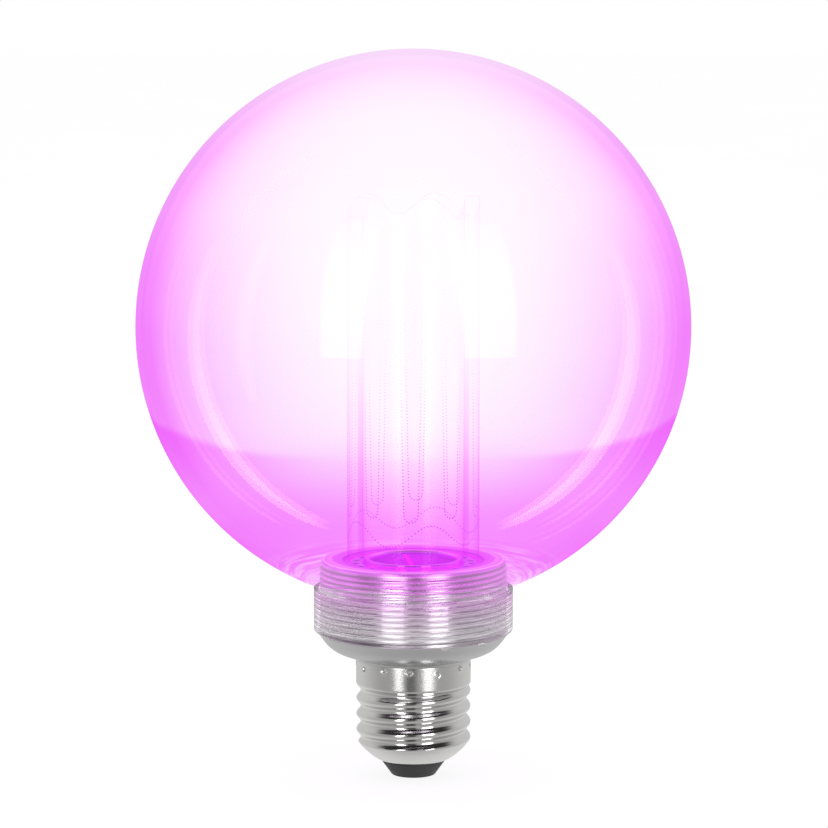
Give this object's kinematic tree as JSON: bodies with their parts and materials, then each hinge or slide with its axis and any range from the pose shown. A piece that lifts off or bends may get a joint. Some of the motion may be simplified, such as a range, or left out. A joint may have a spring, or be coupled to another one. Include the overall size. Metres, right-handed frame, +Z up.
{
  "type": "globe light bulb",
  "caption": "Clear globe light bulb with a screw cap, a silver base and an upright light-guide tube with a wavy crown inside, tinted by a radio-controlled LED board under the tube.",
  "frame": {"origin": "tip of the centre contact, on the lamp's axis", "axes": "+Z up the lamp's axis from the contact to the top of the globe; -Y is the side the picture shows; +X to its right"},
  "size_m": [0.125, 0.125, 0.1656],
  "materials": {
    "clear_globe": "clear, polished, lit magenta from inside",
    "clear_guide": "clear acrylic with etched dots",
    "silver_housing": "metallised satin silver",
    "silver_plate": "satin silver",
    "bright_dish": "bright reflector",
    "nickel": "bright nickel plating",
    "black_insulator": "matt black",
    "contact_metal": "tinned brass",
    "white_board": "white solder mask",
    "led_package": "white package with a lit pink lens",
    "steel": "zinc plated",
    "aluminium": "pressed, bare",
    "circuit_board": "green solder mask",
    "module_board": "dark blue solder mask",
    "black_sleeve": "shrunk sleeve",
    "film_case": "moulded yellow case",
    "ferrite": "dark ferrite",
    "copper_winding": "enamelled copper",
    "resistor_body": "flame-proof coating",
    "black_moulding": "epoxy moulding",
    "shield_tin": "tinned steel",
    "red_insulation": "insulated lead",
    "black_insulation": "insulated lead"
  },
  "bodies": {
    "root": {"globe": "clear_globe", "light_guide_tube": "clear_guide", "base_cup": "silver_housing", "cover_plate": "silver_plate", "centre_reflector": "bright_dish", "screw_shell": "nickel", "cap_insulator": "black_insulator", "centre_contact": "contact_metal", "led_board": "white_board", "leds": "led_package", "board_screws": "steel", "heat_spreader": "aluminium", "driver_board": "circuit_board", "bulk_capacitor": "black_sleeve", "output_capacitor": "black_sleeve", "film_capacitor": "film_case", "choke": "copper_winding", "fusible_resistor": "resistor_body", "bridge_rectifier": "black_moulding", "driver_chip": "black_moulding", "transformer_core": "ferrite", "transformer_winding": "copper_winding", "radio_module": "module_board", "radio_shield": "shield_tin", "pin_header": "black_moulding", "live_wire": "red_insulation", "neutral_wire": "black_insulation"}
  },
  "joints": []
}
